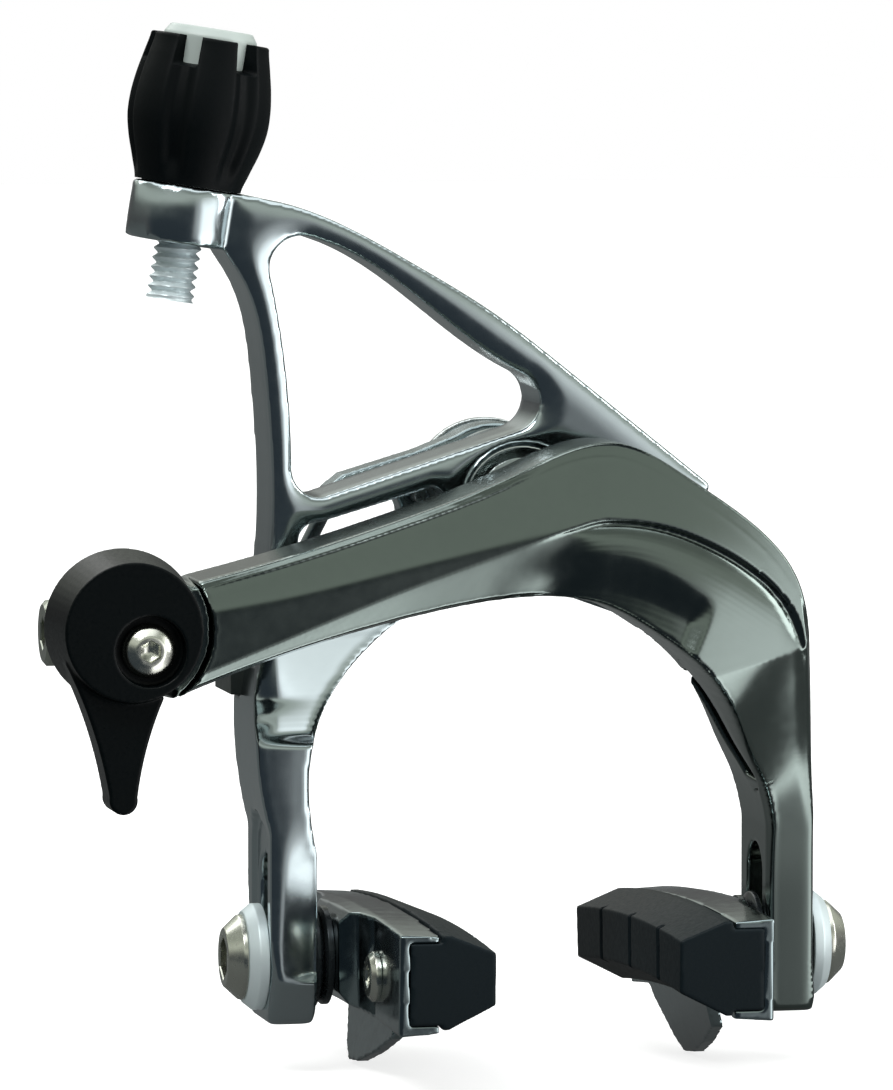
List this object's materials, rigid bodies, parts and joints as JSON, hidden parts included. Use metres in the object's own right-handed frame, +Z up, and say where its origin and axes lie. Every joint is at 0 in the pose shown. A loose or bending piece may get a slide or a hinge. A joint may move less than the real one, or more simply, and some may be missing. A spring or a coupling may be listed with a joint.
{
  "type": "bicycle rim brake caliper",
  "caption": "Dual-pivot rim brake caliper for a road bicycle, with spring-opened arms, height-adjustable cartridge pads, a quick-release cable anchor and a barrel adjuster.",
  "frame": {"origin": "on the mounting bolt's axis, at the back face of the crown washer that meets the fork", "axes": "+Y along the mounting bolt into the fork, +Z up the bicycle, +X to the right seen from the front of the brake"},
  "size_m": [0.0869, 0.0771, 0.1098],
  "materials": {
    "front_arm": "polished dark grey anodised",
    "rear_arm": "polished blue grey anodised",
    "bracket": "dark grey anodised",
    "anchor": "black anodised",
    "holder": "dark grey anodised, glossy",
    "core": "silver satin",
    "silver": "silver satin",
    "black": "black satin",
    "grip": "black matte",
    "pad": "black matte",
    "nickel": "nickel plated",
    "chrome": "bright plated",
    "steel": "zinc plated steel",
    "spring": "spring steel",
    "dark_washer": "blackened",
    "polymer": "dark bearing polymer",
    "slider": "grey green nylon"
  },
  "bodies": {
    "mount": {"mounting_bolt": "steel", "crown_washer": "steel", "pivot_bracket": "bracket", "spring_pin": "chrome", "side_pivot_bolt": "steel", "centre_washer": "steel", "centre_nut": "chrome"},
    "rear_arm": {"rear_arm": "rear_arm", "centre_bushing": "polymer", "centring_screw": "steel", "spring_slider": "slider", "return_spring": "spring"},
    "front_arm": {"front_arm": "front_arm", "side_bushing": "polymer"},
    "pad_set_left": {"pad_bolt_left": "nickel", "outer_washer_left": "silver", "domed_washer_left": "dark_washer", "cupped_washer_left": "dark_washer", "pad_holder_left": "holder", "pad_insert_left": "pad", "pad_screw_left": "nickel"},
    "pad_set_right": {"pad_bolt_right": "nickel", "outer_washer_right": "silver", "domed_washer_right": "dark_washer", "cupped_washer_right": "dark_washer", "pad_holder_right": "holder", "pad_insert_right": "pad", "pad_screw_right": "nickel"},
    "release": {"release_lever": "black", "release_screw": "nickel", "release_spindle": "steel", "release_clip": "steel"},
    "anchor": {"anchor_block": "anchor", "cable_clamp": "steel", "anchor_bolt": "nickel"},
    "adjuster_knob": {"adjuster_knob": "core", "adjuster_grip": "grip"},
    "adjuster_bolt": {"adjuster_bolt": "core"}
  },
  "joints": [
    {"name": "front_arm_pivot", "type": "hinge", "parent": "mount", "child": "front_arm", "pos_m": [0.0184, 0, -0.0082], "axis": [0, 1, 0], "range_deg": [-4, 5], "stiffness_Nm_per_rad": 4},
    {"name": "rear_arm_pivot", "type": "hinge", "parent": "mount", "child": "rear_arm", "pos_m": [0, 0, 0], "axis": [0, 1, 0], "range_deg": [-5, 4]},
    {"name": "pad_height_left", "type": "slide", "parent": "rear_arm", "child": "pad_set_left", "axis": [0, 0, 1], "range_m": [-0.0018, 0.0077]},
    {"name": "pad_height_right", "type": "slide", "parent": "front_arm", "child": "pad_set_right", "axis": [0, 0, 1], "range_m": [-0.0018, 0.0077]},
    {"name": "release_turn", "type": "hinge", "parent": "front_arm", "child": "release", "pos_m": [-0.0443, -0.028, -0.0114], "axis": [0, 1, 0], "range_deg": [0, 110]},
    {"name": "anchor_turn", "type": "hinge", "parent": "release", "child": "anchor", "pos_m": [-0.04533, -0.0206, -0.01263], "axis": [0, 1, 0], "range_deg": [-110, 0]},
    {"name": "adjuster_turn", "type": "hinge", "parent": "rear_arm", "child": "adjuster_knob", "pos_m": [-0.03518, -0.0165, 0.03355], "axis": [0.1599, 0, 0.9871], "range_deg": [-1080, 1080]},
    {"name": "adjuster_travel", "type": "slide", "parent": "rear_arm", "child": "adjuster_bolt", "axis": [0.1599, 0, 0.9871], "range_m": [-0.00241, 0.00241]}
  ],
  "couplings": [
    {"joint": "rear_arm_pivot", "follows": "front_arm_pivot", "ratio": -1},
    {"joint": "anchor_turn", "follows": "release_turn", "ratio": -1},
    {"joint": "adjuster_travel", "follows": "adjuster_turn", "m_per_rad": -0.00012732}
  ]
}
